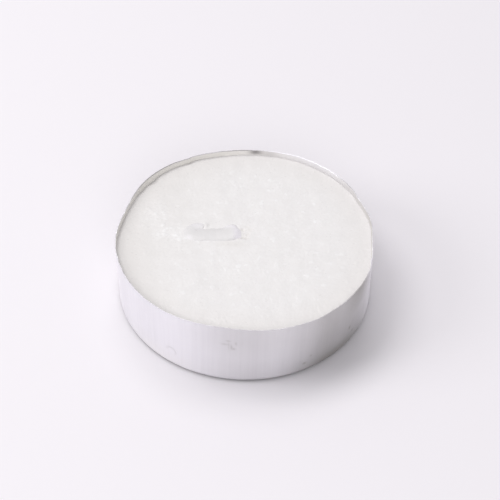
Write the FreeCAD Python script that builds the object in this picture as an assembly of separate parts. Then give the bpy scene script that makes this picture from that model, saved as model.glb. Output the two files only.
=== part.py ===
import FreeCAD, Part
import math
import os

# A tealight: a puck of pressed wax in a low cup of thin drawn aluminium. A waxed cotton wick
# stands in a tin tab under the puck, comes out of the wax and is folded flat to the left.
# Sizes are in millimetres. The table is the plane z = 0, the middle of the cup is the Z axis,
# and +Y points away from the viewer. A bearing is in degrees from +X, anticlockwise from above.

# Cup
lip_diameter = 38.0      # outside of the lip, before it was dented
foot_diameter = 37.5     # outside of the wall just above the foot
cup_height = 11.0
foil = 0.2               # thickness of the drawn sheet
corner_radius = 0.9      # outside corner between the wall and the foot ring
foot_band = 0.3          # strip of wall above that corner that is still round and upright
foot_ring = 1.55         # width of the flat ring that the cup stands on
panel_rise = 0.4         # the panel inside that ring is raised
panel_slope = 0.8        # width of the sloping step between the ring and the panel
panel_round = 0.3        # bend at the top of that step, on the underside
wall_points = 120        # points that carry each level line of the wall

# Where the lip is pushed in: bearing, depth and half width in degrees. The last one is a
# small crease that stands out.
dents = [
    (164.0, 0.63, 16.0),
    (262.0, 0.64, 20.0),
    (358.0, 0.56, 14.0),
    (97.0, 0.37, 20.0),
    (24.0, 0.33, 9.0),
    (121.0, 0.14, 3.0),
    (303.0, -0.12, 5.0),
]

# Wax
wax_drop = 0.9           # from the lip down to the top of the wax
fill_gap = 0.1           # between the wax and the wall
wear_width = 0.2         # how far the worn upper edge reaches in over the top
wear_depth = 0.3         # and down the side
wax_foot_bevel = 0.8     # bevel that clears the cup's inside corner

# Where crumbs are missing from the upper edge: bearing, width of the break seen from above,
# and half its length along the edge in degrees.
chips = [
    (139.0, 0.75, 3.5),
    (147.5, 0.5, 3.0),
    (118.0, 0.25, 3.0),
    (172.0, 0.2, 4.0),
    (222.0, 0.25, 4.0),
    (252.0, 0.35, 4.0),
    (318.0, 0.2, 5.0),
    (40.0, 0.2, 4.0),
]

# Wick
wick_diameter = 1.7
wick_hole = 2.3          # hole through the puck
wick_gap = 0.03          # between the wick and what it was pressed into
wick_x = -0.45           # middle of the hole and of the tab
wick_y = 1.2
lean_drop = 2.1          # the wick starts to lean this far below the top of the wax
lean_radius = 3.0
fold_x = -1.9            # corner where the wick folds over, seen from above
fold_y = 1.15
fold_lift = 0.4          # how much higher the wick stands there than where it rests
fold_radius = 1.2
rest_x = -4.6            # where the folded wick comes down to lie level
rest_y = 0.88
wick_sink = 1.05         # how deep it was pressed into the soft wax there
rest_radius = 8.0
hook_x = -6.86           # where the hook at the wick's end begins
hook_space = 0.12        # half the space between the two legs of the hook
hook_dip = 17.0          # degrees by which the hook is tipped down into the wax
end_x = -6.35            # end of the wick, on its middle line
end_slant = 21.0         # degrees by which the end is cut askew

# Wick tab
tab_diameter = 12.5
tab_sheet = 0.25         # thickness of its tinplate
tab_gap = 0.15           # between the tab and its pocket in the wax
tab_edge_round = 0.1
neck_height = 3.0        # from the underside of the tab to the top of its neck
neck_wall = 0.3
neck_fit = 0.03          # between the wick and the neck
neck_flare = 0.3         # radius where the sheet turns up into the neck
crimp_count = 4
crimp_depth = 0.12       # flats pressed into the neck to grip the wick
crimp_height = 1.1
crimp_drop = 0.4         # from the top of the neck down to the flats

# Worked out
spare = 2.0              # how far cutting shapes run past what they cut
tiny = 0.001             # lengths under this count as none
wax_inset = foil + fill_gap
wall_foot = corner_radius + foot_band
panel_top = panel_rise + foil
wax_top = cup_height - wax_drop
wick_radius = wick_diameter / 2
rest_height = wax_top + wick_radius - wick_sink
neck_bore = wick_radius + neck_fit
neck_radius = neck_bore + neck_wall
up = FreeCAD.Vector(0, 0, 1)


def hollows(places, bearing):
    """How deep a row of soft hollows is at a bearing: each fades out to both sides."""
    depth = 0.0
    for place, deepest, spread in places:
        away = (bearing - place + 180.0) % 360.0 - 180.0
        depth += deepest * math.exp(-((away / spread) ** 2))
    return depth


def lip_radius(bearing):
    """The dented lip. Foil doesn't stretch, so the lip swells by what the dents take in."""
    taken = 0.0
    for place, deepest, spread in dents:
        taken += deepest * spread * math.sqrt(math.pi) / 360.0
    return lip_diameter / 2 - hollows(dents, bearing) + taken


def wall_radius(bearing, height):
    """Each upright line of the wall stays straight from the round foot to the dented lip."""
    foot = foot_diameter / 2
    share = max(0.0, height - wall_foot) / (cup_height - wall_foot)
    return foot + (lip_radius(bearing) - foot) * share


def wall_line(height, inset, breaks=()):
    """A closed level line, moved in from the wall by the inset and by the breaks on it."""
    points = []
    for step in range(wall_points):
        bearing = 360.0 * step / wall_points
        radius = wall_radius(bearing, height) - inset - hollows(breaks, bearing)
        angle = math.radians(bearing)
        points.append(FreeCAD.Vector(radius * math.cos(angle), radius * math.sin(angle), height))
    line = Part.BSplineCurve()
    line.interpolate(Points=points, PeriodicFlag=True)
    return Part.Wire([line.toShape()])


def ruled_body(lines):
    """The solid inside closed level lines, with straight rulings from each to the next."""
    return Part.makeLoft(lines, True, True)


def level_edges(shape, height):
    """The edges that lie flat at a height."""
    found = []
    for edge in shape.Edges:
        flat = edge.BoundBox.ZLength < tiny
        if flat and abs(edge.CenterOfMass.z - height) < tiny:
            found.append(edge)
    return found


def turned(outline):
    """A solid of revolution about the Z axis, from corners given as radius and height."""
    corners = [FreeCAD.Vector(radius, 0, height) for radius, height in outline]
    section = Part.Face(Part.makePolygon(corners + corners[:1]))
    return section.revolve(FreeCAD.Vector(), up, 360)


def post(radius, low, high):
    """An upright cylinder on the wick's line."""
    return Part.makeCylinder(radius, high - low, FreeCAD.Vector(wick_x, wick_y, low))


def make_cup():
    """Wall, rounded corner, flat foot ring and raised panel, all of one thickness."""
    panel = foot_diameter / 2 - corner_radius - foot_ring - panel_slope
    bend_shift = foil * math.tan(math.atan2(panel_rise, panel_slope) / 2)

    outside = ruled_body([wall_line(0, 0), wall_line(wall_foot, 0), wall_line(cup_height, 0)])
    outside = outside.makeFillet(corner_radius, level_edges(outside, 0))
    inside = ruled_body([
        wall_line(foil, foil),
        wall_line(wall_foot, foil),
        wall_line(cup_height + spare, foil),
    ])
    inside = inside.makeFillet(corner_radius - foil, level_edges(inside, foil))

    under = turned([
        (0, -spare),
        (panel + panel_slope, -spare),
        (panel + panel_slope, 0),
        (panel, panel_rise),
        (0, panel_rise),
    ])
    under = under.makeFillet(panel_round, level_edges(under, panel_rise))
    step = turned([
        (0, 0),
        (panel + panel_slope + bend_shift, 0),
        (panel + panel_slope + bend_shift, foil),
        (panel + bend_shift, panel_top),
        (0, panel_top),
    ])
    step = step.makeFillet(panel_round + foil, level_edges(step, panel_top))
    return outside.cut(inside.cut(step)).cut(under)


def rounded_corner(before, corner, after, radius):
    """The arc that rounds one corner of a path."""
    back = (before - corner).normalize()
    onward = (after - corner).normalize()
    half = back.getAngle(onward) / 2
    reach = radius / math.tan(half)
    inward = (back + onward).normalize()
    middle = corner + inward * (radius / math.sin(half) - radius)
    return Part.Arc(corner + back * reach, middle, corner + onward * reach)


def wick_path():
    """The wick's middle line: up, a lean, the fold, down into the wax, and the end's hook."""
    hook_radius = wick_radius + hook_space
    dip = math.radians(hook_dip)
    across = FreeCAD.Vector(0, math.cos(dip), -math.sin(dip))
    foot = FreeCAD.Vector(wick_x, wick_y, panel_top)
    lean = FreeCAD.Vector(wick_x, wick_y, wax_top - lean_drop)
    fold = FreeCAD.Vector(fold_x, fold_y, rest_height + fold_lift)
    rest = FreeCAD.Vector(rest_x, rest_y, rest_height)
    hook_start = FreeCAD.Vector(hook_x, rest_y, rest_height)
    hook_left = hook_start + across * hook_radius - FreeCAD.Vector(hook_radius, 0, 0)
    hook_end = hook_start + across * (2 * hook_radius)
    end = FreeCAD.Vector(end_x + wick_radius, hook_end.y, hook_end.z)

    bends = [
        rounded_corner(foot, lean, fold, lean_radius),
        rounded_corner(lean, fold, rest, fold_radius),
        rounded_corner(fold, rest, hook_start, rest_radius),
        Part.Arc(hook_start, hook_left, hook_end),
    ]
    edges = []
    at = foot
    for bend in bends:
        if at.distanceToPoint(bend.StartPoint) > tiny:
            edges.append(Part.makeLine(at, bend.StartPoint))
        edges.append(bend.toShape())
        at = bend.EndPoint
    edges.append(Part.makeLine(at, end))
    return Part.Wire(edges)


def wick_rod(radius):
    """A round rod along the wick's path, cut askew at its end."""
    circle = Part.makeCircle(radius, FreeCAD.Vector(wick_x, wick_y, panel_top), up)
    path = wick_path()
    rod = path.makePipeShell([Part.Wire([circle])], True, False)
    end = path.Edges[-1].Vertexes[-1].Point
    middle = FreeCAD.Vector(end_x, end.y, end.z)
    offcut = Part.makeCylinder(radius + hook_space / 2, wick_diameter, middle, FreeCAD.Vector(1, 0, 0))
    offcut.translate(FreeCAD.Vector(-wick_radius, 0, 0))
    size = 2 * wick_diameter
    beyond = Part.makeBox(size, size, size, FreeCAD.Vector(0, -size / 2, -size / 2))
    beyond.rotate(FreeCAD.Vector(), up, -end_slant)
    beyond.translate(middle)
    return rod.cut(offcut.common(beyond))


def make_wax():
    """The puck, with its pocket for the tab, its hole, the wick's bed and the broken edge."""
    puck = ruled_body([
        wall_line(panel_top, wax_inset + wax_foot_bevel),
        wall_line(panel_top + wax_foot_bevel, wax_inset),
        wall_line(wax_top - wear_depth, wax_inset),
        wall_line(wax_top, wax_inset + wear_width, chips),
    ])
    tab_pocket = post(tab_diameter / 2 + tab_gap, panel_top - spare, panel_top + tab_sheet + tab_gap)
    neck_pocket = post(neck_radius + tab_gap, panel_top, panel_top + neck_height + tab_gap)
    hole = post(wick_hole / 2, panel_top, wax_top + spare)
    bed = wick_rod(wick_radius + wick_gap)
    for tool in [tab_pocket, neck_pocket, hole, bed]:
        puck = puck.cut(tool)
    return puck


def make_wick():
    """Waxed cotton, one round rod."""
    return wick_rod(wick_radius)


def make_wick_tab():
    """A tinplate disc drawn up into a neck, with flats that grip the wick."""
    tab_radius = tab_diameter / 2
    disc = Part.makeCylinder(tab_radius, tab_sheet)
    disc = disc.makeFillet(tab_edge_round, level_edges(disc, tab_sheet))
    neck = Part.makeCylinder(neck_radius, neck_height)
    tab = disc.fuse(neck).removeSplitter()
    root = [edge for edge in level_edges(tab, tab_sheet) if edge.BoundBox.XMax < neck_radius + neck_wall]
    tab = tab.makeFillet(neck_flare, root)
    tab = tab.cut(Part.makeCylinder(neck_bore, neck_height + spare, FreeCAD.Vector(0, 0, -spare / 2)))

    reach = neck_radius - crimp_depth
    low = neck_height - crimp_drop - crimp_height
    for index in range(crimp_count):
        flat = Part.makeBox(spare, 2 * neck_radius, crimp_height, FreeCAD.Vector(reach, -neck_radius, low))
        flat.rotate(FreeCAD.Vector(), up, 360.0 * index / crimp_count)
        tab = tab.cut(flat)
    tab.translate(FreeCAD.Vector(wick_x, wick_y, panel_top))
    return tab


def save(shape, name):
    """Writes the one solid of a piece."""
    if len(shape.Solids) != 1 or not shape.isValid():
        raise RuntimeError(name + " is not one sound solid")
    shape.Solids[0].exportStep("parts/" + name + ".step")
    print(name, "volume", round(shape.Volume, 2), "mm3")


os.makedirs("parts", exist_ok=True)
save(make_cup(), "cup")
save(make_wax(), "wax")
save(make_wick(), "wick")
save(make_wick_tab(), "wick_tab")
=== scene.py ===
import bpy
import math
import numpy as np
from mathutils import Matrix, Vector


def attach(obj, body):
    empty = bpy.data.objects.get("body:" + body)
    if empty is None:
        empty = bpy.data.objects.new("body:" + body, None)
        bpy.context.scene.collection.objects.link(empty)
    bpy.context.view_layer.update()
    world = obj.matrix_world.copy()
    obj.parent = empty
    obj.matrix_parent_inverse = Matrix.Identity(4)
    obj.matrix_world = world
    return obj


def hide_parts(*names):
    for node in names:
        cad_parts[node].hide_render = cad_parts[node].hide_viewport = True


# A tealight: a puck of pressed wax in a low cup of thin aluminium, with a waxed cotton wick
# that is folded flat to the left. Sizes are in millimetres, as in the part's own source.
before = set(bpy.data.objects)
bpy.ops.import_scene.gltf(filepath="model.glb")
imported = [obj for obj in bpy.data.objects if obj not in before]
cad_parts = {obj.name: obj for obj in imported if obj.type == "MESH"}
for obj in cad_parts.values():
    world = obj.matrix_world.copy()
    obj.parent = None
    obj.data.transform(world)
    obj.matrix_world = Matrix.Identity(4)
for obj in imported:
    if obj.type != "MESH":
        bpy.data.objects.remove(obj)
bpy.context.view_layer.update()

# Camera.
# It looks down at the candle at 44 degrees from a quarter of a metre away, rolled a little
# to the left, with a narrow view.
camera = bpy.data.objects.new("camera", bpy.data.cameras.new("camera"))
bpy.context.scene.collection.objects.link(camera)
bpy.context.scene.camera = camera
camera.data.lens = 128.16
camera.data.sensor_width = 36.0
camera.data.clip_start = 0.01
camera_right = Vector((0.99969008, 0.01564445, 0.01936496))
camera_up = Vector((-0.0247603, 0.70558047, 0.7081971))
camera_back = Vector((-0.00258418, -0.7084571, 0.70574915))
camera.matrix_world = Matrix.Translation((0, -0.185668, 0.193020)) @ Matrix(
    (camera_right, camera_up, camera_back)
).transposed().to_4x4()
bpy.context.scene.view_settings.view_transform = "Standard"

# Floor and light.
# A pale lilac-white table top under soft lamps: the strongest stands high up on the left, one
# behind, a weak one low on the left and one in front that fills the shadows.
millimetre = 0.001


def mesh_piece(name, points, faces):
    """A smooth mesh object from points in millimetres."""
    mesh = bpy.data.meshes.new(name)
    mesh.from_pydata(np.asarray(points, float) * millimetre, [], faces)
    mesh.update()
    mesh.shade_smooth()
    piece = bpy.data.objects.new(name, mesh)
    bpy.context.scene.collection.objects.link(piece)
    return piece


def new_material(name):
    """A material with its nodes, and its Principled shader."""
    material = bpy.data.materials.new(name)
    material.use_nodes = True
    return material, material.node_tree, material.node_tree.nodes["Principled BSDF"]


def add_node(tree, kind, feeds=(), **settings):
    """A node with its settings, and what feeds its inputs: a socket or a plain value."""
    node = tree.nodes.new(kind)
    for label, value in settings.items():
        setattr(node, label, value)
    for label, value in dict(feeds).items():
        if isinstance(value, bpy.types.NodeSocket):
            tree.links.new(value, node.inputs[label])
        else:
            node.inputs[label].default_value = value
    return node


floor_half = 5000.0
floor_drop = 0.02
floor = mesh_piece(
    "floor",
    [(x * floor_half, y * floor_half, -floor_drop) for x, y in ((-1, -1), (1, -1), (1, 1), (-1, 1))],
    [(0, 1, 2, 3)],
)
floor_paint, tree, shader = new_material("floor_paint")
shader.inputs["Base Color"].default_value = (0.925, 0.89, 0.935, 1)
shader.inputs["Roughness"].default_value = 0.9
shader.inputs["Specular IOR Level"].default_value = 0.1
floor.data.materials.append(floor_paint)

# Each lamp: where it shines from, as bearing and height in degrees, and its power.
lamp_distance, lamp_width = 0.6, 0.3
for name, bearing, rise, power in (
    ("window_lamp", 165.0, 62.0, 0.91),
    ("back_lamp", 100.0, 65.0, 0.56),
    ("left_lamp", 190.0, 30.0, 0.85),
    ("front_lamp", 275.0, 35.0, 0.62),
):
    lamp = bpy.data.objects.new(name, bpy.data.lights.new(name, "AREA"))
    bpy.context.scene.collection.objects.link(lamp)
    lamp.data.shape = "DISK"
    lamp.data.size = lamp_width
    lamp.data.energy = power
    level = math.cos(math.radians(rise))
    lamp.location = lamp_distance * Vector((
        math.cos(math.radians(bearing)) * level, math.sin(math.radians(bearing)) * level,
        math.sin(math.radians(rise)),
    ))
    lamp.rotation_euler = lamp.location.to_track_quat("Z", "Y").to_euler()

world = bpy.data.worlds.new("surround")
bpy.context.scene.world = world
world.use_nodes = True
tree = world.node_tree
fill = tree.nodes["Background"]
fill.inputs["Color"].default_value = (1, 1, 1, 1)
fill.inputs["Strength"].default_value = 0.43
backdrop = add_node(tree, "ShaderNodeBackground", {
    "Color": (0.9, 0.88, 0.91, 1), "Strength": 0.9,
})
ray = add_node(tree, "ShaderNodeLightPath")
seen = add_node(tree, "ShaderNodeMath", {
    0: ray.outputs["Is Camera Ray"], 1: ray.outputs["Is Glossy Ray"],
}, operation="MAXIMUM")
seen_or_passed = add_node(tree, "ShaderNodeMath", {
    0: seen.outputs[0], 1: ray.outputs["Is Transmission Ray"],
}, operation="MAXIMUM")
choice = add_node(tree, "ShaderNodeMixShader", {
    0: seen_or_passed.outputs[0], 1: fill.outputs[0], 2: backdrop.outputs[0],
})
tree.links.new(choice.outputs[0], tree.nodes["World Output"].inputs["Surface"])

# Cup.
# Drawn from one round of soft aluminium foil: a wall with fine upright drawing lines, a rounded
# corner, a flat foot ring and a raised panel. Its cut lip has been knocked in at several places.
lip_diameter = 38.0
foot_diameter = 37.5
cup_height = 11.0
foil = 0.2
cut_edge = 0.13
corner_radius = 0.9
foot_band = 0.3
foot_ring = 1.55
panel_rise = 0.4
panel_slope = 0.8
wall_foot = corner_radius + foot_band
panel_top = panel_rise + foil
wax_top = 10.1
cup_columns = 800

# The sheet thins to its cut edge from this height on, over this much.
thinned_from, thinned_over = 10.0, 0.8

# Soft dents of the whole wall: bearing from +X, depth at the lip, half width in degrees.
dents = [
    (164.0, 0.63, 16.0),
    (262.0, 0.64, 20.0),
    (358.0, 0.56, 14.0),
    (97.0, 0.37, 20.0),
    (24.0, 0.33, 9.0),
    (121.0, 0.14, 3.0),
    (303.0, -0.12, 5.0),
]

# Short kinks of the lip alone: bearing, depth, half width in degrees, reach down the wall.
lip_kinks = [
    (118.5, 0.10, 1.3, 1.6),
    (74.0, 0.05, 1.0, 1.0),
    (33.0, -0.06, 1.6, 1.5),
    (27.5, 0.10, 1.5, 1.8),
    (346.0, 0.12, 1.7, 2.0),
    (341.0, -0.06, 1.5, 1.3),
    (196.0, 0.05, 1.4, 1.4),
    (229.0, 0.03, 1.6, 1.2),
    (311.0, 0.04, 1.5, 1.3),
]

# Small knocks on the outside of the wall: bearing, height, half width, half height, depth.
wall_knocks = [
    (298.0, 2.0, 0.22, 0.14, 0.05),
    (324.5, 3.7, 0.20, 0.35, 0.07),
    (327.0, 2.4, 0.25, 0.20, 0.05),
    (205.0, 5.2, 0.30, 0.55, 0.03),
    (281.0, 4.1, 0.35, 0.30, 0.02),
    (63.0, 6.0, 0.50, 0.35, 0.05),
    (142.0, 4.0, 0.30, 0.60, 0.04),
]

# Dark rubs and scratches on the outside, and darker spots on some knocks: bearing, height, half
# width, half height, strength.
dark_marks = [
    (262.0, 7.7, 0.55, 0.13, 0.25),
    (265.0, 7.2, 0.14, 0.45, 0.25),
    (263.5, 8.4, 0.30, 0.12, 0.22),
    (267.0, 8.0, 0.12, 0.30, 0.22),
    (263.8, 7.4, 0.11, 0.90, 0.15),
    (266.0, 6.9, 0.25, 0.20, 0.25),
    (298.0, 2.0, 0.30, 0.18, 0.35),
    (301.0, 3.2, 0.20, 0.20, 0.20),
    (324.5, 3.7, 0.20, 0.40, 0.35),
    (327.0, 2.4, 0.30, 0.20, 0.25),
]

# The thumbnail's crease low on the left of the front: bearing, height, radius, width and depth.
crease_bearing, crease_height, crease_radius = 236.8, 2.9, 0.8
crease_width, crease_depth = 0.16, 0.07

# Where the lip is spread outward at the back on the right: bearing, by how much, half width in
# degrees, and the height that bends.
spread_bearing, spread_out, spread_half, spread_height = 61.0, 0.125, 19.0, 0.65

# Soft ripples all over the wall, fine upright drawing lines, and what the two draw it in.
ripple_depth, drawing_depth, taken_in = 0.012, 0.004, 0.008

# Levels of the wall's two sides, and the cut edge's section: places across it, from -1 to 1,
# and how far each is below the top.
inside_levels = (
    0.95, 1.3, 2.5, 4.5, 6.5, 8.0, 8.8, 9.2, 9.5, 9.7, 9.9, 10.1, 10.3, 10.45, 10.6, 10.75, 10.86,
)
outside_levels = np.r_[10.86:1.3:48j, 1.15, 1.0]
lip_section = (
    (-1, 0.02), (-0.8, 0.003), (-0.55, 0), (0, 0), (0.55, 0), (0.8, 0.003), (1, 0.02),
)

# Rings of the raised panel, and how far from its two bends the sheet is straight again.
panel_rings = (13.5, 11.0, 8.5, 6.0, 4.0, 2.0, 1.0)
low_bend, high_bend = 0.12, 0.2


def hollows(places, bearing):
    """How deep a row of soft hollows is at a bearing: each fades out to both sides."""
    depth = np.zeros_like(bearing)
    for place, deepest, spread in places:
        away = (bearing - place + 180.0) % 360.0 - 180.0
        depth += deepest * np.exp(-((away / spread) ** 2))
    return depth


def lip_radius(bearing):
    """The dented lip, which swells elsewhere by what the dents take in."""
    taken = sum(deepest * spread * math.sqrt(math.pi) / 360.0 for _, deepest, spread in dents)
    return lip_diameter / 2 - hollows(dents, bearing) + taken


def wall_radius(bearing, height):
    """The outside of the wall: each upright line runs straight from the foot to the lip."""
    foot = foot_diameter / 2
    share = np.maximum(0.0, height - wall_foot) / (cup_height - wall_foot)
    return foot + (lip_radius(bearing) - foot) * share


def waves(bearing, height, around, upright, count, seed):
    """Soft closed ripples of about one unit, from sine waves that fit the round wall."""
    rng = np.random.default_rng(seed)
    total = np.zeros(np.broadcast(bearing, height).shape)
    for _ in range(count):
        turns = rng.integers(1, around + 1)
        rise = rng.normal() * upright
        total += np.sin(np.radians(bearing) * turns + height * rise + rng.random() * 2 * math.pi)
    return total / math.sqrt(count)


def along_wall(bearing, place):
    """How far a bearing is from a place, along the outside of the wall."""
    return ((bearing - place + 180.0) % 360.0 - 180.0) * math.radians(foot_diameter / 2)


def thumb_crease(bearing, height):
    """The thumbnail's crease: the upper part of a small ring."""
    away, level = along_wall(bearing, crease_bearing), height - crease_height
    ring = np.exp(-((np.hypot(away, level) - crease_radius) / crease_width) ** 2)
    return ring * (0.5 + 0.5 * np.tanh((level + 0.3 * away) / 0.25))


def worn_wall(bearing, height):
    """What handling has done to the wall, as a change of its radius."""
    change = ripple_depth * waves(bearing, height, 24, 0.25, 10, 3) - taken_in
    change += drawing_depth * waves(bearing, height, 120, 0.12, 14, 4)
    for place, deepest, spread, reach in lip_kinks:
        away = (bearing - place + 180.0) % 360.0 - 180.0
        fade = np.exp(-((away / spread) ** 2) - ((cup_height - height) / reach) ** 2)
        change -= deepest * fade
    for place, level, wide, high, deepest in wall_knocks:
        away = along_wall(bearing, place)
        change -= deepest * np.exp(-((away / wide) ** 2) - ((height - level) / high) ** 2)
    away = (bearing - spread_bearing + 180.0) % 360.0 - 180.0
    near_top = np.clip((height - cup_height + spread_height) / spread_height, 0, 1)
    change += spread_out * np.exp(-((away / spread_half) ** 4)) * near_top ** 1.5
    change -= crease_depth * thumb_crease(bearing, height)
    return change * np.clip((height - corner_radius) / 0.6, 0.0, 1.0)


def arc(middle, radius, first, last, steps):
    """Points of a round bend in the cup's section, by angles in degrees."""
    turn = np.radians(np.linspace(first, last, steps + 1))
    return [(middle[0] + radius * math.cos(a), middle[1] + radius * math.sin(a)) for a in turn]


def foot_section(sheet_side):
    """The section from the wall's foot to the middle: corner, foot ring, slope and panel."""
    lift = foil * sheet_side
    bend = corner_radius - lift
    middle = (foot_diameter / 2 - corner_radius, corner_radius)
    panel = foot_diameter / 2 - corner_radius - foot_ring - panel_slope
    slope = math.atan2(panel_rise, panel_slope)
    shift = lift * math.tan(slope / 2)
    section = arc(middle, bend, 0, -90, 8 if sheet_side == 0 else 5)
    low, high = panel + panel_slope + shift, panel + shift
    section += [
        (low + 1.0, lift),
        (low + low_bend, lift),
        (low - low_bend * math.cos(slope), lift + low_bend * math.sin(slope)),
        (high + high_bend * math.cos(slope), panel_rise + lift - high_bend * math.sin(slope)),
        (high + 0.04, panel_rise + lift - 0.045),
        (high - high_bend, panel_rise + lift),
    ]
    return section + [(radius, panel_rise + lift) for radius in panel_rings]


def cup_rows():
    """Rings of points from the middle of the panel's top, over the lip, to under the panel."""
    bearing = np.arange(cup_columns) * 360.0 / cup_columns
    cut = 0.02 * waves(bearing, 0.0, 60, 0.0, 12, 5) + 0.015 * waves(bearing, 0.0, 300, 0.0, 12, 6)
    top = cup_height - 0.035 + cut.clip(-0.06, 0.03)
    rows = []
    for radius, height in reversed(foot_section(1)):
        rows.append((np.full(cup_columns, radius), np.full(cup_columns, height)))
    for height in inside_levels:
        level = np.full(cup_columns, height)
        sheet = foil - (foil - cut_edge) * np.clip((height - thinned_from) / thinned_over, 0, 1)
        rows.append((wall_radius(bearing, level) + worn_wall(bearing, level) - sheet, level))
    lip = wall_radius(bearing, top) + worn_wall(bearing, top) - cut_edge / 2
    for across, down in lip_section:
        rows.append((lip + across * cut_edge / 2, top - down))
    for height in outside_levels:
        level = np.full(cup_columns, height)
        rows.append((wall_radius(bearing, level) + worn_wall(bearing, level), level))
    for radius, height in foot_section(0):
        rows.append((np.full(cup_columns, radius), np.full(cup_columns, height)))
    return np.radians(bearing), rows


def joined_rings(ring_count, columns, first=0):
    """Quads between rings of points that follow each other in the point list."""
    faces = []
    for ring in range(ring_count - 1):
        low, high = first + ring * columns, first + (ring + 1) * columns
        for step in range(columns):
            after = (step + 1) % columns
            faces.append((low + step, low + after, high + after, high + step))
    return faces


angle, rows = cup_rows()
points = np.concatenate([
    np.stack([radius * np.cos(angle), radius * np.sin(angle), level], axis=1)
    for radius, level in rows
])
faces = joined_rings(len(rows), cup_columns)
last = len(points) - cup_columns
points = np.concatenate([points, [(0, 0, rows[0][1][0]), (0, 0, rows[-1][1][0])]])
for step in range(cup_columns):
    after = (step + 1) % cup_columns
    faces.append((after, step, len(points) - 2))
    faces.append((last + step, last + after, len(points) - 1))
cup = mesh_piece("foil_cup", points, faces)

# What has happened to the skin of the foil, as bearing, strength and half width in degrees. The
# wax has left a film on the inside, thinner at the back on the right. Painted shade and a painted
# dark reflection darken the inside next to the wax and at the lip; painted shade also darkens the
# cut edge in places. The outside carries painted shade on its darker side, at the corner, along
# the foot and in the crease, besides real rubs and scratches; low on the left it is painted paler
# and less shiny, as painted light.
bare_inside = [(54.0, 0.8, 30.0)]
# Painted shade and a painted dark reflection on the inside, and painted shade on the cut edge.
inside_band_shade = [(27.0, 0.24, 26.0), (80.0, 0.25, 5.0)]
near_wax_shade = [(56.0, 0.2, 26.0)]
inside_lip_shade = [(86.5, 0.9, 2.8), (150.0, 0.10, 60.0), (10.0, 0.30, 18.0)]
cut_edge_shade = [
    (136.0, 1.0, 32.0), (93.0, 0.9, 10.0), (38.0, 0.6, 8.0), (8.0, 0.45, 20.0),
    (270.0, 0.3, 60.0), (215.0, 0.5, 30.0),
]
# Painted light: the foot low on the left is paler and less shiny.
painted_foot_light = [(229.0, 0.35, 17.0)]
# Painted shade on the outside: on its darker side, at the corner, along the foot and in the crease.
corner_shade = [(316.0, 0.49, 22.0)]
outside_shade = [
    (269.0, 0.25, 19.0), (203.0, 0.085, 20.0), (300.0, 0.09, 14.0), (309.0, 0.05, 6.0),
    (328.0, 0.12, 8.0), (337.0, 0.07, 6.0),
]
top_right_shade = [(331.0, 0.33, 8.0)]
top_front_shade = [(272.0, 0.08, 25.0)]
foot_line_shade = 1.0
crease_shade = 0.2

height = points[:, 2]
bearing = np.degrees(np.arctan2(points[:, 1], points[:, 0])) % 360.0
row_of = np.arange(len(points)) // cup_columns
edge_row = len(foot_section(1)) + len(inside_levels)
inside, outside = row_of < edge_row, row_of >= edge_row + len(lip_section)

film_and_foot_light = inside * (1 - hollows(bare_inside, bearing).clip(0, 1))
# Painted light: a paler, less shiny foot low on the left, so that it reads brighter.
film_and_foot_light += outside * hollows(painted_foot_light, bearing) * np.exp(-((height / 2.8) ** 2))

# Painted shade and dark reflection: on the cut edge, and inside at the lip, in a band and next to the
# wax.
rim_shade = ~inside * ~outside * hollows(cut_edge_shade, bearing).clip(0, 1)
above_wax = (height - wax_top) / 0.4
rim_shade += inside * above_wax.clip(0, 1) * hollows(inside_lip_shade, bearing).clip(0, 1)
rim_shade += inside * hollows(inside_band_shade, bearing)
rim_shade += inside * np.exp(-(above_wax ** 2)) * hollows(near_wax_shade, bearing)

# Painted shade on the outside, with the real rubs and scratches and the darker spots on knocks.
shade_and_marks = hollows(corner_shade, bearing) * (1 + 0.8 * np.exp(-((height / 2.0) ** 2)))
shade_and_marks += hollows(outside_shade, bearing)
shade_and_marks += hollows(top_right_shade, bearing) * ((height - 6.0) / 4.2).clip(0, 1)
shade_and_marks += hollows(top_front_shade, bearing) * ((height - 5.0) / 3.0).clip(0, 1)
shade_and_marks += foot_line_shade * np.exp(-((height / 0.3) ** 2))
shade_and_marks += crease_shade * thumb_crease(bearing, height)
for place, level, wide, high, strength in dark_marks:
    away = along_wall(bearing, place)
    shade_and_marks += strength * np.exp(-((away / wide) ** 2) - ((height - level) / high) ** 2)
from_axis = np.hypot(points[:, 0], points[:, 1])
shade_and_marks *= ~inside * ((from_axis - 17.0) / 1.4).clip(0, 1)
for name, over_points in (("film_and_foot_light", film_and_foot_light), ("shade_and_marks", shade_and_marks), ("rim_shade", rim_shade)):
    cup.data.attributes.new(name, "FLOAT", "POINT").data.foreach_set("value", over_points)


def effect(name, inputs, outputs):
    """An empty node group with named inputs and outputs, and its two end nodes."""
    group = bpy.data.node_groups.new(name, "ShaderNodeTree")
    for label, kind, value in inputs:
        socket = group.interface.new_socket(label, in_out="INPUT", socket_type=kind)
        if value is not None:
            socket.default_value = value
    for label, kind in outputs:
        group.interface.new_socket(label, in_out="OUTPUT", socket_type=kind)
    return group, group.nodes.new("NodeGroupInput"), group.nodes.new("NodeGroupOutput")


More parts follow.
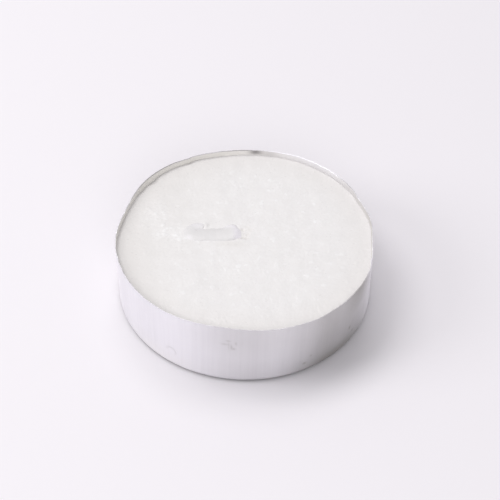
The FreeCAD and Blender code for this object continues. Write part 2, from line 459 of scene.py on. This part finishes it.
# Worked sheet: fine lines left by the tools, and a slow change of tone between patches.
worked_sheet, given, result = effect(
    "worked_sheet",
    [("Vector", "NodeSocketVector", None), ("Line Scale", "NodeSocketFloat", 3000.0),
     ("Patch Scale", "NodeSocketFloat", 300.0)],
    [("Height", "NodeSocketFloat"), ("Tone", "NodeSocketFloat")],
)
lines = add_node(worked_sheet, "ShaderNodeTexNoise", {
    "Vector": given.outputs["Vector"], "Scale": given.outputs["Line Scale"],
    "Detail": 4.0, "Roughness": 0.6,
})
patches = add_node(worked_sheet, "ShaderNodeTexNoise", {
    "Vector": given.outputs["Vector"], "Scale": given.outputs["Patch Scale"],
    "Detail": 3.0, "Roughness": 0.55,
})
patch_weight = add_node(worked_sheet, "ShaderNodeMath", {
    0: patches.outputs["Fac"], 1: 0.6,
}, operation="MULTIPLY")
line_weight = add_node(worked_sheet, "ShaderNodeMath", {
    0: lines.outputs["Fac"], 1: 0.4, 2: patch_weight.outputs[0],
}, operation="MULTIPLY_ADD")
tone = add_node(worked_sheet, "ShaderNodeMapRange", {
    "Value": line_weight.outputs[0], "From Min": 0.36, "From Max": 0.64,
})
worked_sheet.links.new(lines.outputs["Fac"], result.inputs["Height"])
worked_sheet.links.new(tone.outputs[0], result.inputs["Tone"])

aluminium, tree, shader = new_material("drawn_aluminium")
place = add_node(tree, "ShaderNodeTexCoord")
upright = add_node(tree, "ShaderNodeMapping", {
    "Vector": place.outputs["Object"], "Scale": (1.0, 1.0, 0.02),
})
sheet = add_node(tree, "ShaderNodeGroup", node_tree=worked_sheet)
tree.links.new(upright.outputs[0], sheet.inputs["Vector"])
sheet.inputs["Line Scale"].default_value = 2600.0
sheet.inputs["Patch Scale"].default_value = 260.0
smears = add_node(tree, "ShaderNodeTexNoise", {
    "Vector": place.outputs["Object"], "Scale": 450.0, "Detail": 5.0, "Roughness": 0.6,
})
foil_colour = add_node(tree, "ShaderNodeMix", {
    "Factor": sheet.outputs["Tone"], "A": (0.875, 0.862, 0.90, 1), "B": (0.945, 0.932, 0.97, 1),
}, data_type="RGBA")
# Painted shade on the outside, and real rubs and scratches, darken the foil.
shade_and_marks_place = add_node(tree, "ShaderNodeAttribute", attribute_name="shade_and_marks")
foil_shade_and_marks = add_node(tree, "ShaderNodeMix", {
    "Factor": shade_and_marks_place.outputs["Fac"], "A": foil_colour.outputs["Result"],
    "B": (0.33, 0.315, 0.29, 1),
}, data_type="RGBA")
# The wax film on the inside, and the painted light low on the left of the outside.
film_and_foot_light_place = add_node(tree, "ShaderNodeAttribute", attribute_name="film_and_foot_light")
foil_film_and_light = add_node(tree, "ShaderNodeMix", {
    "Factor": film_and_foot_light_place.outputs["Fac"], "A": foil_shade_and_marks.outputs["Result"],
    "B": (0.95, 0.925, 0.885, 1),
}, data_type="RGBA")
# Painted shade and dark reflection on the cut edge and the inside of the wall.
rim_shade_place = add_node(tree, "ShaderNodeAttribute", attribute_name="rim_shade")
foil_rim_shaded = add_node(tree, "ShaderNodeMix", {
    "Factor": rim_shade_place.outputs["Fac"], "A": foil_film_and_light.outputs["Result"],
    "B": (0.33, 0.315, 0.315, 1),
}, data_type="RGBA")
# What the foil throws on the floor beside it: the rays that light the floor meet this colour,
# near black where the outside carries painted shade, so that the floor there is shaded more.
foil_cast = add_node(tree, "ShaderNodeMix", {
    "Factor": shade_and_marks_place.outputs["Fac"], "A": (0.56, 0.555, 0.57, 1), "B": (0.02, 0.02, 0.02, 1),
}, data_type="RGBA")
ray = add_node(tree, "ShaderNodeLightPath")
foil_glow = add_node(tree, "ShaderNodeMix", {
    "Factor": ray.outputs["Is Diffuse Ray"], "A": foil_rim_shaded.outputs["Result"],
    "B": foil_cast.outputs["Result"],
}, data_type="RGBA")
foil_metal = add_node(tree, "ShaderNodeMapRange", {
    "Value": film_and_foot_light_place.outputs["Fac"], "To Min": 0.72, "To Max": 0.2,
})
foil_sheen = add_node(tree, "ShaderNodeMapRange", {
    "Value": smears.outputs["Fac"], "From Min": 0.35, "From Max": 0.65,
    "To Min": 0.30, "To Max": 0.44,
})
foil_bump = add_node(tree, "ShaderNodeBump", {
    "Strength": 0.35, "Distance": 0.00001, "Height": sheet.outputs["Height"],
})
tree.links.new(foil_metal.outputs[0], shader.inputs["Metallic"])
tree.links.new(foil_glow.outputs["Result"], shader.inputs["Base Color"])
tree.links.new(foil_sheen.outputs[0], shader.inputs["Roughness"])
tree.links.new(foil_bump.outputs[0], shader.inputs["Normal"])
cup.data.materials.append(aluminium)
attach(cup, "root")
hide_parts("cup")

# Wick.
# Braided cotton soaked in wax, one stiff round cord. It stands in the tin tab, comes out of the
# puck, is folded flat to the left and ends in a small hook that is pressed into the wax.
wick_radius = 0.85
wick_x, wick_y = -0.45, 1.2
rest_height = wax_top - 0.28
wick_sides = 48
braid_strands, braid_turn, braid_relief = 4, 3.1, 0.022
end_slant, end_dome, end_ragged = 21.0, 0.10, 0.035

# The folded part was pressed flat: how far along the wick that begins and over what length it
# comes, and how much wider and thinner the wick is there.
pressed_from, pressed_over = 7.6, 1.6
pressed_wider, pressed_thinner = 0.75, 0.44


def bent(before, corner, after, radius, steps):
    """Points of the arc that rounds one corner of the wick's line."""
    back = (before - corner) / np.linalg.norm(before - corner)
    onward = (after - corner) / np.linalg.norm(after - corner)
    half = math.acos(np.clip(back @ onward, -1, 1)) / 2
    reach = radius / math.tan(half)
    inward = (back + onward) / np.linalg.norm(back + onward)
    middle = corner + inward * radius / math.sin(half)
    first, last = corner + back * reach - middle, corner + onward * reach - middle
    whole = math.pi - 2 * half
    part = np.linspace(0, 1, steps)[:, None]
    return middle + (np.sin((1 - part) * whole) * first + np.sin(part * whole) * last) / math.sin(whole)


def wick_line():
    """The wick's middle line, at even steps: up, a lean, the fold, down, and the hook."""
    foot = np.array([wick_x, wick_y, panel_top])
    stand = np.array([wick_x, wick_y, wax_top - 3.6])
    lean = np.array([0.4, 1.25, wax_top - 1.3])
    fold = np.array([-1.7, 1.3, rest_height + 0.2])
    rest = np.array([-4.4, 0.95, rest_height])
    hook = np.array([-7.2, 0.82, rest_height])
    dip = math.radians(2.0)
    across = np.array([0, math.cos(dip), -math.sin(dip)])
    hook_radius = 0.95
    turn = np.linspace(0, math.pi, 40)[:, None]
    side = np.array([1.0, 0, 0])
    curl = hook + hook_radius * (across * (1 - np.cos(turn)) - side * np.sin(turn))
    end = np.array([-6.15, curl[-1, 1], curl[-1, 2]])
    way = np.concatenate([
        [foot],
        bent(foot, stand, lean, 3.0, 12),
        bent(stand, lean, fold, 0.9, 24),
        bent(lean, fold, rest, 1.2, 30),
        bent(fold, rest, hook, 8.0, 12),
        curl,
        [end],
    ])
    run = np.r_[0, np.cumsum(np.linalg.norm(np.diff(way, axis=0), axis=1))]
    even = np.linspace(0, run[-1], 300)
    return np.stack([np.interp(even, run, way[:, axis]) for axis in range(3)], axis=1), even


def wick_body():
    """Rings round the wick's line with the braid's low relief, and a domed, ragged cut end."""
    line, run = wick_line()
    ahead = np.gradient(line, axis=0)
    ahead /= np.linalg.norm(ahead, axis=1)[:, None]
    side = np.array([0.0, 1.0, 0.0])
    rng = np.random.default_rng(21)
    turn = np.arange(wick_sides) * 2 * math.pi / wick_sides
    rings = []
    for index, (middle, way) in enumerate(zip(line, ahead)):
        side = side - way * (side @ way)
        side /= np.linalg.norm(side)
        over = np.cross(way, side)
        come = run[index]
        left = run[-1] - come
        strand = braid_strands * turn
        braid = np.maximum(np.cos(strand + braid_turn * come), np.cos(strand - braid_turn * come))
        lumps = 0.012 * np.sin(2 * turn + 1.7 * come) + 0.01 * np.sin(3 * turn - 2.9 * come)
        radius = wick_radius * (0.975 + braid_relief * braid + lumps)
        pressed = np.clip((come - pressed_from) / pressed_over, 0, 1)
        # The side away from the viewer bulges at the fold and half way to the hook, the near
        # side is drawn in at the fold, and both get narrow in the hook.
        bulge = 0.75 * math.exp(-(((middle[0] + 1.4) / 1.5) ** 4))
        bulge += 0.3 * math.exp(-(((middle[0] + 5.5) / 1.2) ** 4)) * (left > 3.2)
        inner = pressed_wider + bulge - 0.7 * np.clip((1.2 - left) / 0.8, 0, 1)
        outer = pressed_wider - 0.75 * np.clip((3.2 - left) / 1.4, 0, 1)
        outer -= 0.35 * math.exp(-(((middle[0] + 0.9) / 0.9) ** 2))
        wide = 1 + pressed * np.where(np.cos(turn) > 0, inner, outer)
        thick = 1 - pressed * pressed_thinner
        ring = middle + (radius * wide * np.cos(turn))[:, None] * side
        ring += (radius * thick * np.sin(turn))[:, None] * over
        askew = math.tan(math.radians(end_slant)) * max(0.0, 1 - left / 1.2)
        ring[:, 0] += askew * (ring[:, 1] - middle[1])
        rings.append(ring)
    for share in (0.93, 0.78, 0.58, 0.38, 0.18):
        ring = line[-1] + (rings[len(line) - 1] - line[-1]) * share
        ring[:, 0] += end_dome * math.sqrt(1 - share) + end_ragged * rng.normal(size=wick_sides)
        rings.append(ring)
    return line, np.concatenate(rings), len(rings)


wick_way, points, ring_count = wick_body()
faces = joined_rings(ring_count, wick_sides)
faces.append(tuple(range(wick_sides - 1, -1, -1)))
faces.append(tuple(range((ring_count - 1) * wick_sides, ring_count * wick_sides)))
wick = mesh_piece("waxed_wick", points, faces)

# Painted highlights on the wick's bends, and its shaded right end painted lighter: x, y, half
# width, strength.
highlight_spots = [
    (-8.3, 0.1, 0.5, 0.35),
    (-7.2, 2.9, 0.9, 0.4),
    (-2.7, 2.7, 0.5, 0.55),
    (-1.8, 2.6, 0.5, 0.8),
    (-1.2, 1.9, 0.5, 0.9),
    (-0.9, 1.0, 0.7, 1.0),
    (-1.0, 0.2, 0.7, 1.0),
    (-1.7, 1.5, 0.4, 0.25),
]
wick_highlight = np.zeros(len(points))
for bend_x, bend_y, spread, strength in highlight_spots:
    away = np.hypot(points[:, 0] - bend_x, points[:, 1] - bend_y)
    wick_highlight += strength * np.exp(-((away / spread) ** 2))
wick.data.attributes.new("wick_highlight", "FLOAT", "POINT").data.foreach_set("value", wick_highlight.clip(0, 1))

# Wax grain: small facets that each lean their own way, the seams between them and their tone.
wax_grain, given, result = effect(
    "wax_grain",
    [("Vector", "NodeSocketVector", None), ("Grain Scale", "NodeSocketFloat", 4000.0)],
    [("Height", "NodeSocketFloat"), ("Facets", "NodeSocketFloat"), ("Tone", "NodeSocketFloat"),
     ("Glint", "NodeSocketFloat")],
)
cells = add_node(wax_grain, "ShaderNodeTexVoronoi", {
    "Vector": given.outputs["Vector"], "Scale": given.outputs["Grain Scale"],
})
offset = add_node(wax_grain, "ShaderNodeVectorMath", {
    0: given.outputs["Vector"], 1: cells.outputs["Position"],
}, operation="SUBTRACT")
in_cells = add_node(wax_grain, "ShaderNodeVectorMath", {
    0: offset.outputs[0], "Scale": given.outputs["Grain Scale"],
}, operation="SCALE")
lean = add_node(wax_grain, "ShaderNodeVectorMath", {
    0: cells.outputs["Color"], 1: (0.5, 0.5, 0.5),
}, operation="SUBTRACT")
facets = add_node(wax_grain, "ShaderNodeVectorMath", {
    0: in_cells.outputs[0], 1: lean.outputs[0],
}, operation="DOT_PRODUCT")
roughness = add_node(wax_grain, "ShaderNodeTexNoise", {
    "Vector": given.outputs["Vector"], "Scale": given.outputs["Grain Scale"],
    "Detail": 5.0, "Roughness": 0.7,
})
own = add_node(wax_grain, "ShaderNodeSeparateColor", {"Color": cells.outputs["Color"]})
glint = add_node(wax_grain, "ShaderNodeMapRange", {
    "Value": own.outputs["Red"], "From Min": 0.95, "From Max": 0.98,
})
wax_grain.links.new(roughness.outputs["Fac"], result.inputs["Height"])
wax_grain.links.new(facets.outputs["Value"], result.inputs["Facets"])
wax_grain.links.new(own.outputs["Green"], result.inputs["Tone"])
wax_grain.links.new(glint.outputs[0], result.inputs["Glint"])

cotton, tree, shader = new_material("waxed_cotton")
place = add_node(tree, "ShaderNodeTexCoord")
grain = add_node(tree, "ShaderNodeGroup", node_tree=wax_grain)
tree.links.new(place.outputs["Object"], grain.inputs["Vector"])
grain.inputs["Grain Scale"].default_value = 5200.0
soak = add_node(tree, "ShaderNodeTexNoise", {
    "Vector": place.outputs["Object"], "Scale": 700.0, "Detail": 3.0,
})
cotton_colour = add_node(tree, "ShaderNodeMix", {
    "Factor": soak.outputs["Fac"], "A": (0.75, 0.73, 0.735, 1), "B": (0.79, 0.77, 0.78, 1),
}, data_type="RGBA")
# Painted highlights on the wick, and its shaded right end painted lighter.
wick_highlight_place = add_node(tree, "ShaderNodeAttribute", attribute_name="wick_highlight")
cotton_highlit = add_node(tree, "ShaderNodeMix", {
    "Factor": wick_highlight_place.outputs["Fac"], "A": cotton_colour.outputs["Result"],
    "B": (0.95, 0.915, 0.97, 1),
}, data_type="RGBA")
cotton_bump = add_node(tree, "ShaderNodeBump", {
    "Strength": 0.35, "Distance": 0.00006, "Height": grain.outputs["Height"],
})
shader.inputs["Roughness"].default_value = 0.42
tree.links.new(cotton_highlit.outputs["Result"], shader.inputs["Base Color"])
tree.links.new(cotton_bump.outputs[0], shader.inputs["Normal"])
wick.data.materials.append(cotton)
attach(wick, "root")
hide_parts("wick")

# Wax.
# White paraffin beads pressed into a puck: a grainy top with a crumbled edge, a hole with loose
# crumbs where the wick comes out, and the bed that the folded wick has pressed into it.
wax_inset = foil + 0.002
wear_width = 0.03
wear_depth = 0.02
wax_foot_bevel = 0.8
hole_radius = 1.15
tab_pocket_radius, tab_pocket_top = 6.4, panel_top + 0.4
neck_pocket_radius, neck_pocket_top = 1.33, panel_top + 3.15
wax_grid = 266

# The two sizes of beads: pitch, depth of the seams, lift and tilt of single beads, seed.
bead_layers = [
    (0.62, 0.03, 0.05, 0.14, 34),
    (0.38, 0.01, 0.02, 0.08, 35),
]

# Small pits left round the wick, where the hole has filled up: x, y, radius, depth.
hole_pits = [
    (-0.43, 2.25, 0.24, 0.12),
    (0.15, 2.85, 0.20, 0.05),
    (0.62, 2.25, 0.24, 0.07),
    (-0.50, 0.60, 0.24, 0.10),
    (0.10, 0.40, 0.22, 0.08),
    (0.35, 1.30, 0.20, 0.05),
]

# Where the beads are looser and look frosty: x, y, half length, half width.
frosty_patches = [
    (-10.6, 0.9, 2.2, 1.6),
    (-14.0, 5.0, 2.3, 3.2),
    (-4.0, -16.0, 1.8, 0.7),
]

# The wick's bed: depth, half width and slope. It follows the wick's line where that is less than
# this far below the top, and stops some steps short of the cut end.
bed_depth, bed_half_width, bed_slope = 0.35, 0.5, 0.2
bed_line_below, bed_steps_short = 0.35, 16

# The wax pushed up at the cut end, and the painted shadow in front of the wick: x, y, half length
# and half width, and how much.
mound_x, mound_y, mound_long, mound_wide, mound_height = -5.95, 2.75, 0.35, 0.6, 0.16
shade_x, shade_y, shade_long, shade_wide, shade = -2.0, -0.9, 2.4, 0.8, 0.5

# Where crumbs are missing from the edge: bearing, width, half length in degrees.
chips = [
    (139.0, 0.75, 3.5),
    (147.5, 0.5, 3.0),
    (118.0, 0.25, 3.0),
    (172.0, 0.2, 4.0),
    (179.0, 0.3, 9.0),
    (222.0, 0.25, 4.0),
    (252.0, 0.35, 4.0),
    (318.0, 0.2, 5.0),
    (40.0, 0.2, 4.0),
]


def even_disc(count):
    """A square grid bent into a round one whose cells stay about even, from -1 to 1."""
    across = np.linspace(-1, 1, count)
    x, y = np.meshgrid(across, across)
    wide = np.abs(x) >= np.abs(y)
    radius = np.where(wide, x, y)
    with np.errstate(divide="ignore", invalid="ignore"):
        turn = np.where(wide, math.pi / 4 * y / x, math.pi / 2 - math.pi / 4 * x / y)
    return radius * np.cos(turn), radius * np.sin(turn)


def pressed_beads(x, y, pitch, seed):
    """For each place: how far the seam is, and the level and slope of the bead it is on."""
    rng = np.random.default_rng(seed)
    size = 160
    spot = rng.random((size, size, 2))
    own = rng.random((size, size, 3))
    column, row = np.floor(x / pitch).astype(int), np.floor(y / pitch).astype(int)
    nearest = np.full(x.shape, 9e9)
    second = np.full(x.shape, 9e9)
    chosen = np.zeros(x.shape + (3,))
    offset = np.zeros(x.shape + (2,))
    for step in range(9):
        i, j = column + step % 3 - 1, row + step // 3 - 1
        place = spot[i % size, j % size]
        dx, dy = x - (i + place[..., 0]) * pitch, y - (j + place[..., 1]) * pitch
        far = np.hypot(dx, dy)
        closer = far < nearest
        second = np.where(closer, nearest, np.minimum(second, far))
        nearest = np.where(closer, far, nearest)
        chosen = np.where(closer[..., None], own[i % size, j % size], chosen)
        offset = np.where(closer[..., None], np.stack([dx, dy], axis=-1), offset)
    slope = (offset * (chosen[..., 1:] - 0.5)).sum(axis=-1)
    return second - nearest, chosen[..., 0], slope


def swells(x, y, shortest, count, seed):
    """Low smooth waves of about one unit across the puck."""
    rng = np.random.default_rng(seed)
    total = np.zeros(x.shape)
    for _ in range(count):
        turn, wave = rng.random() * 2 * math.pi, shortest * (1 + 2 * rng.random())
        along = x * math.cos(turn) + y * math.sin(turn)
        total += np.sin(along * 2 * math.pi / wave + rng.random() * 2 * math.pi)
    return total / math.sqrt(count)


def wax_surface():
    """The grainy top of the puck, out to its side, its frost and painted glints, and its painted shade.
    """
    u, v = even_disc(wax_grid)
    bearing = np.degrees(np.arctan2(v, u)) % 360.0
    side = wall_radius(bearing, wax_top) + worn_wall(bearing, wax_top) - wax_inset
    x, y = u * side, v * side
    from_side = side * (1 - np.hypot(u, v))

    # The beads, which are looser where they look frosty.
    patch = np.zeros(x.shape)
    for patch_x, patch_y, wide, high in frosty_patches:
        patch += np.exp(-(((x - patch_x) / wide) ** 2 + ((y - patch_y) / high) ** 2))
    rough = 0.12 + 0.16 * np.clip(0.5 + 0.5 * swells(x, y, 4.0, 6, 31), 0, 1) + 0.35 * patch
    frost_and_glints = 0.22 * patch
    z = wax_top - 0.03 + 0.03 * swells(x, y, 5.0, 8, 32) + 0.015 * swells(x, y, 1.6, 10, 33)
    for pitch, seam_depth, lift, tilt, seed in bead_layers:
        seam, level, slope = pressed_beads(x, y, pitch, seed)
        z += rough * (lift * (level - 0.5) + tilt * slope)
        z -= 2 * rough * seam_depth * np.clip(1 - seam / (0.3 * pitch), 0, 1) ** 2
        z += 0.05 * rough * np.clip((level - 0.93) / 0.04, 0, 1)
        # Single beads are painted white, as painted glints.
        frost_and_glints += 0.35 * np.clip((level - 0.98 + 0.04 * patch) / 0.02, 0, 1)
        frost_and_glints += 0.2 * (level - 0.5)

    # The edge, worn and broken, with a thin line of wax drawn up against the foil.
    missing = hollows(chips, bearing)
    worn = wear_width + missing + 0.05 * (1 + waves(bearing, 0.0, 90, 0.0, 16, 36)).clip(0, 2)
    z -= (wear_depth + 0.3 * missing) * np.clip(1 - from_side / worn, 0, 1) ** 0.6
    z += 0.04 * np.exp(-from_side / 0.22) * (1 - missing / 0.4).clip(0, 1)

    # The hole, filled up but for a shallow hollow and some pits.
    hole = np.hypot(x - wick_x, y - wick_y) - 0.12 * swells(x, y, 1.1, 6, 37)
    z -= 0.14 * np.clip((hole_radius + 0.1 - hole) / 0.6, 0, 1) ** 1.2
    pitted = np.zeros(x.shape)
    for pit_x, pit_y, pit_radius, pit_depth in hole_pits:
        from_pit = ((x - pit_x) ** 2 + (y - pit_y) ** 2) / pit_radius ** 2
        z -= pit_depth * np.exp(-from_pit)
        pitted += np.exp(-from_pit / 2)

    # The wick's bed, and the wax that it has pushed up at its cut end.
    near = np.full(x.shape, 9.0)
    lying = wick_way[:-bed_steps_short]
    for middle in lying[lying[:, 2] > wax_top - bed_line_below]:
        near = np.minimum(near, np.hypot(x - middle[0], y - middle[1]))
    z -= bed_depth * np.clip((bed_half_width - near) / bed_slope, 0, 1)
    mound = ((x - mound_x) / mound_long) ** 2 + ((y - mound_y) / mound_wide) ** 2
    z += mound_height * np.exp(-mound)

    # Painted shade: darker wax in the breaks, in the hole and its pits, a painted shadow in front of
    # the wick, and darker wax towards the left.
    wax_shade = 0.3 * np.clip((missing - 0.15) / 0.1, 0, 1) * np.clip((worn - from_side) / 0.1, 0, 1)
    wax_shade += 0.35 * np.clip((hole_radius + 0.2 - hole) / 0.5, 0, 1) + 0.6 * pitted
    in_front = ((x - shade_x) / shade_long) ** 4 + ((y - shade_y) / shade_wide) ** 2
    wax_shade += shade * np.exp(-in_front)
    wax_shade += 0.5 * np.clip((0.3 * y - x - 5.0) / 10.0, 0, 1) * (1 - 0.7 * patch)
    return x, y, z, from_side, frost_and_glints.clip(0, 1), wax_shade.clip(0, 1)


x, y, z, from_side, frost_and_glints, wax_shade = wax_surface()
index = np.arange(wax_grid * wax_grid).reshape(wax_grid, wax_grid)
faces = np.stack([
    index[:-1, :-1].ravel(), index[:-1, 1:].ravel(), index[1:, 1:].ravel(), index[1:, :-1].ravel(),
], axis=1).tolist()
rim = np.concatenate([index[0, :-1], index[:-1, -1], index[-1, :0:-1], index[:0:-1, 0]])
top_points = np.stack([x.ravel(), y.ravel(), z.ravel()], axis=1)
rim_bearing = np.degrees(np.arctan2(top_points[rim, 1], top_points[rim, 0])) % 360.0
outward = np.stack([np.cos(np.radians(rim_bearing)), np.sin(np.radians(rim_bearing))], axis=1)


def side_ring(height, inset):
    """A level ring of the puck's side."""
    radius = wall_radius(rim_bearing, height) + worn_wall(rim_bearing, height) - inset
    return np.column_stack([outward * radius[:, None], np.full(len(rim), height)])


def pocket_ring(radius, height):
    """A level ring round the wick's line, under the puck."""
    return np.column_stack([outward * radius + (wick_x, wick_y), np.full(len(rim), height)])


under_rings = [
    side_ring(9.5, wax_inset),
    side_ring(8.0, wax_inset),
    side_ring(5.0, wax_inset),
    side_ring(panel_top + wax_foot_bevel, wax_inset),
    side_ring(panel_top, wax_inset + wax_foot_bevel),
    pocket_ring(tab_pocket_radius, panel_top),
    pocket_ring(tab_pocket_radius, tab_pocket_top),
    pocket_ring(neck_pocket_radius, tab_pocket_top),
    pocket_ring(neck_pocket_radius, neck_pocket_top),
]
first = len(top_points)
rim_count = len(rim)
for step in range(rim_count):
    after = (step + 1) % rim_count
    faces.append((int(rim[after]), int(rim[step]), first + step, first + after))
for face in joined_rings(len(under_rings), rim_count, first):
    faces.append(face[::-1])
points = np.concatenate([top_points] + under_rings + [[(wick_x, wick_y, neck_pocket_top)]])
last = len(points) - 1 - rim_count
for step in range(rim_count):
    faces.append((last + (step + 1) % rim_count, last + step, len(points) - 1))
wax = mesh_piece("wax_puck", points, faces)
for name, over_top in (("from_wall", from_side), ("frost_and_glints", frost_and_glints), ("wax_shade", wax_shade)):
    over_all = np.zeros(len(points))
    over_all[:wax_grid * wax_grid] = over_top.ravel()
    wax.data.attributes.new(name, "FLOAT", "POINT").data.foreach_set("value", over_all)

# The top ends in a sharp edge all round.
on_rim = np.zeros(len(points), bool)
on_rim[rim] = True
ends = np.zeros(2 * len(wax.data.edges), int)
wax.data.edges.foreach_get("vertices", ends)
sharp = on_rim[ends].reshape(-1, 2).all(axis=1)
wax.data.attributes.new("sharp_edge", "BOOLEAN", "EDGE").data.foreach_set("value", sharp)

paraffin, tree, shader = new_material("pressed_paraffin")
place = add_node(tree, "ShaderNodeTexCoord")
grain = add_node(tree, "ShaderNodeGroup", node_tree=wax_grain)
tree.links.new(place.outputs["Object"], grain.inputs["Vector"])
grain.inputs["Grain Scale"].default_value = 3600.0
clouds = add_node(tree, "ShaderNodeTexNoise", {
    "Vector": place.outputs["Object"], "Scale": 500.0, "Detail": 4.0, "Roughness": 0.6,
})
wax_colour = add_node(tree, "ShaderNodeMix", {
    "Factor": clouds.outputs["Fac"], "A": (0.812, 0.787, 0.787, 1), "B": (0.876, 0.851, 0.856, 1),
}, data_type="RGBA")
# Frosty beads, and painted glints on single beads.
frost_and_glints_place = add_node(tree, "ShaderNodeAttribute", attribute_name="frost_and_glints")
wax_frost_and_glints = add_node(tree, "ShaderNodeMix", {
    "Factor": frost_and_glints_place.outputs["Fac"], "A": wax_colour.outputs["Result"],
    "B": (0.97, 0.965, 0.98, 1),
}, data_type="RGBA")
wax_tone = add_node(tree, "ShaderNodeMapRange", {
    "Value": grain.outputs["Tone"], "To Min": 0.0, "To Max": 0.15,
})
wax_cells = add_node(tree, "ShaderNodeMix", {
    "Factor": wax_tone.outputs[0], "A": wax_frost_and_glints.outputs["Result"], "B": (0.94, 0.93, 0.935, 1),
}, data_type="RGBA")
# Painted shade: the wax is darker towards the foil, over the last 6 mm.
from_wall = add_node(tree, "ShaderNodeAttribute", attribute_name="from_wall")
wax_wall_shade = add_node(tree, "ShaderNodeMapRange", {
    "Value": from_wall.outputs["Fac"], "From Min": 0.0, "From Max": 6.0, "To Min": 1.0, "To Max": 0.0,
}, interpolation_type="SMOOTHSTEP")
wax_shaded_by_wall = add_node(tree, "ShaderNodeMix", {
    "Factor": wax_wall_shade.outputs[0], "A": wax_cells.outputs["Result"], "B": (0.82, 0.79, 0.785, 1),
}, data_type="RGBA")
# Painted shade, and the painted shadow in front of the wick.
wax_shade_place = add_node(tree, "ShaderNodeAttribute", attribute_name="wax_shade")
wax_shaded = add_node(tree, "ShaderNodeMix", {
    "Factor": wax_shade_place.outputs["Fac"], "A": wax_shaded_by_wall.outputs["Result"], "B": (0.78, 0.75, 0.735, 1),
}, data_type="RGBA")
wax_sheen = add_node(tree, "ShaderNodeMapRange", {
    "Value": grain.outputs["Glint"], "To Min": 0.5, "To Max": 0.25,
})
wax_bump = add_node(tree, "ShaderNodeBump", {
    "Strength": 0.12, "Distance": 0.00005, "Height": grain.outputs["Height"],
})
wax_facets = add_node(tree, "ShaderNodeBump", {
    "Strength": 0.12, "Distance": 0.00004, "Height": grain.outputs["Facets"],
    "Normal": wax_bump.outputs[0],
})
tree.links.new(wax_shaded.outputs["Result"], shader.inputs["Base Color"])
tree.links.new(wax_sheen.outputs[0], shader.inputs["Roughness"])
tree.links.new(wax_facets.outputs[0], shader.inputs["Normal"])
wax.data.materials.append(paraffin)
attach(wax, "root")
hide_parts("wax")

# Wick tab.
# A disc of thin tinplate drawn up into a neck that is crimped on the wick. It sits under the
# puck, on the cup's panel, and its own solid is shown.
tinplate, tree, shader = new_material("rolled_tinplate")
place = add_node(tree, "ShaderNodeTexCoord")
rolled = add_node(tree, "ShaderNodeMapping", {
    "Vector": place.outputs["Object"], "Scale": (1.0, 0.03, 1.0),
})
sheet = add_node(tree, "ShaderNodeGroup", node_tree=worked_sheet)
tree.links.new(rolled.outputs[0], sheet.inputs["Vector"])
sheet.inputs["Line Scale"].default_value = 5000.0
sheet.inputs["Patch Scale"].default_value = 600.0
tin_colour = add_node(tree, "ShaderNodeMix", {
    "Factor": sheet.outputs["Tone"], "A": (0.56, 0.55, 0.53, 1), "B": (0.74, 0.73, 0.71, 1),
}, data_type="RGBA")
tin_sheen = add_node(tree, "ShaderNodeMapRange", {
    "Value": sheet.outputs["Tone"], "To Min": 0.45, "To Max": 0.28,
})
tin_bump = add_node(tree, "ShaderNodeBump", {
    "Strength": 0.4, "Distance": 0.00001, "Height": sheet.outputs["Height"],
})
shader.inputs["Metallic"].default_value = 1.0
tree.links.new(tin_colour.outputs["Result"], shader.inputs["Base Color"])
tree.links.new(tin_sheen.outputs[0], shader.inputs["Roughness"])
tree.links.new(tin_bump.outputs[0], shader.inputs["Normal"])
tab_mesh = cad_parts["wick_tab"].data
tab_mesh.materials.clear()
tab_mesh.materials.append(tinplate)
